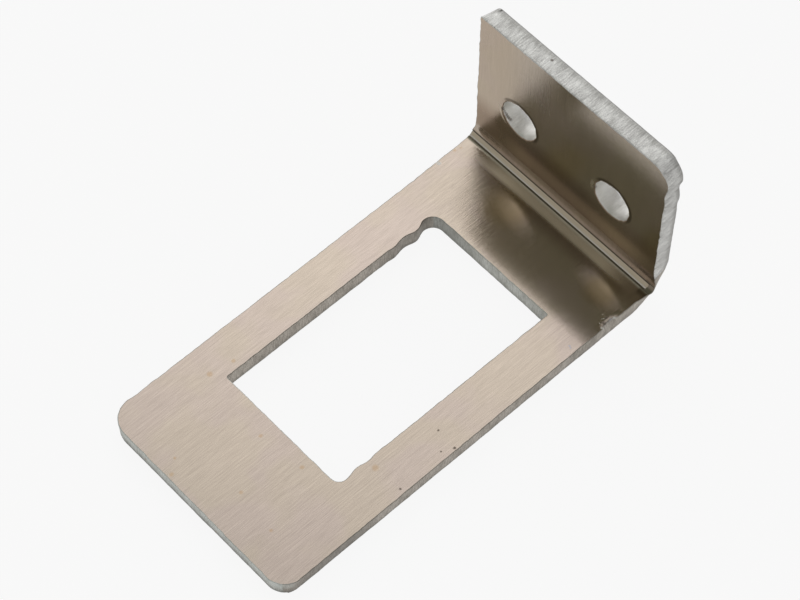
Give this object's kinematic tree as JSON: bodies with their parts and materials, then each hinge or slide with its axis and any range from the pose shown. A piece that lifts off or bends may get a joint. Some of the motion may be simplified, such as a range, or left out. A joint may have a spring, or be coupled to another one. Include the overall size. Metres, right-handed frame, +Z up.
{
  "type": "folded sheet metal bracket",
  "caption": "L-shaped bracket folded from one metal sheet, with a rectangular window in its plate and screw holes in its upright flange.",
  "frame": {"origin": "on the underside of the plate, under the middle of the outer length and width", "axes": "+X across the width, +Y along the plate towards the flange, +Z up the flange"},
  "size_m": [0.0369, 0.0724, 0.0307],
  "materials": {
    "brushed_sheet": "fine brushed faces with dull cut edges"
  },
  "bodies": {
    "root": {"bracket": "brushed_sheet"}
  },
  "joints": []
}
